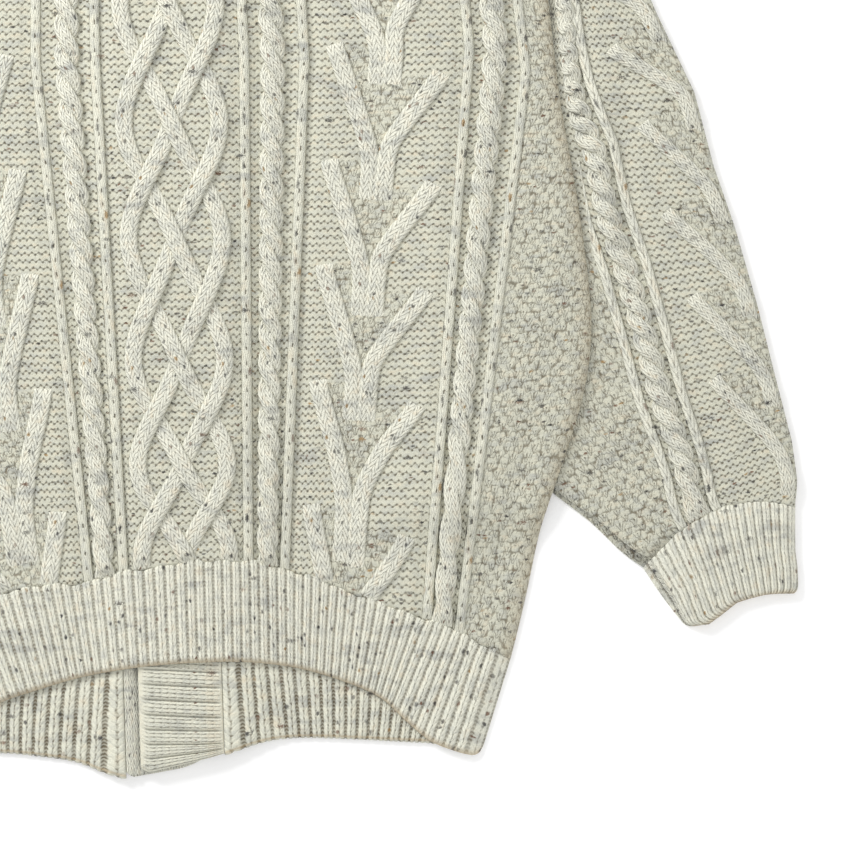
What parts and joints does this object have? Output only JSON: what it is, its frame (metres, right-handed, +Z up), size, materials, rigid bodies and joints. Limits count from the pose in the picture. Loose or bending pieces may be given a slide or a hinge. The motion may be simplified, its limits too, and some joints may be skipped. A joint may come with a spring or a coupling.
{
  "type": "cable knit cardigan",
  "caption": "Thick cable knit cardigan, buttoned, laid flat with its back up and arms at its sides, with plaited and rope cables, branching panels, ribbed hem, cuffs, neckband and bands.",
  "frame": {"origin": "under the middle of the whole garment, on the surface it lies on", "axes": "+X across the garment from the left arm as seen to the right one, +Y from the hem towards the neck, +Z up out of the surface, through the cloth's layers"},
  "size_m": [0.882, 0.852, 0.0164],
  "materials": {
    "wool_back": "thick tweed wool yarn, matt, cream with small dark, rust and ochre flecks",
    "wool_hem": "thick tweed wool yarn, matt, cream with small dark, rust and ochre flecks",
    "wool_front": "thick tweed wool yarn, matt, cream with small dark, rust and ochre flecks",
    "wool_front_hem": "thick tweed wool yarn, matt, cream with small dark, rust and ochre flecks",
    "wool_band": "thick tweed wool yarn, matt, cream with small dark, rust and ochre flecks",
    "wool_neckband": "thick tweed wool yarn, matt, cream with small dark, rust and ochre flecks",
    "wool_sleeve": "thick tweed wool yarn, matt, cream with small dark, rust and ochre flecks",
    "wool_cuff": "thick tweed wool yarn, matt, cream with small dark, rust and ochre flecks",
    "button": "brown horn-look button, softly polished"
  },
  "bodies": {
    "root": {"back": "wool_back", "back_hem": "wool_hem", "front_right": "wool_front", "front_left": "wool_front", "front_hem_right": "wool_front_hem", "front_hem_left": "wool_front_hem", "button_band": "wool_band", "buttonhole_band": "wool_band", "neckband": "wool_neckband", "sleeve_right": "wool_sleeve", "sleeve_left": "wool_sleeve", "cuff_right": "wool_cuff", "cuff_left": "wool_cuff", "button_1": "button", "button_2": "button", "button_3": "button", "button_4": "button", "button_5": "button", "button_6": "button"}
  },
  "joints": []
}
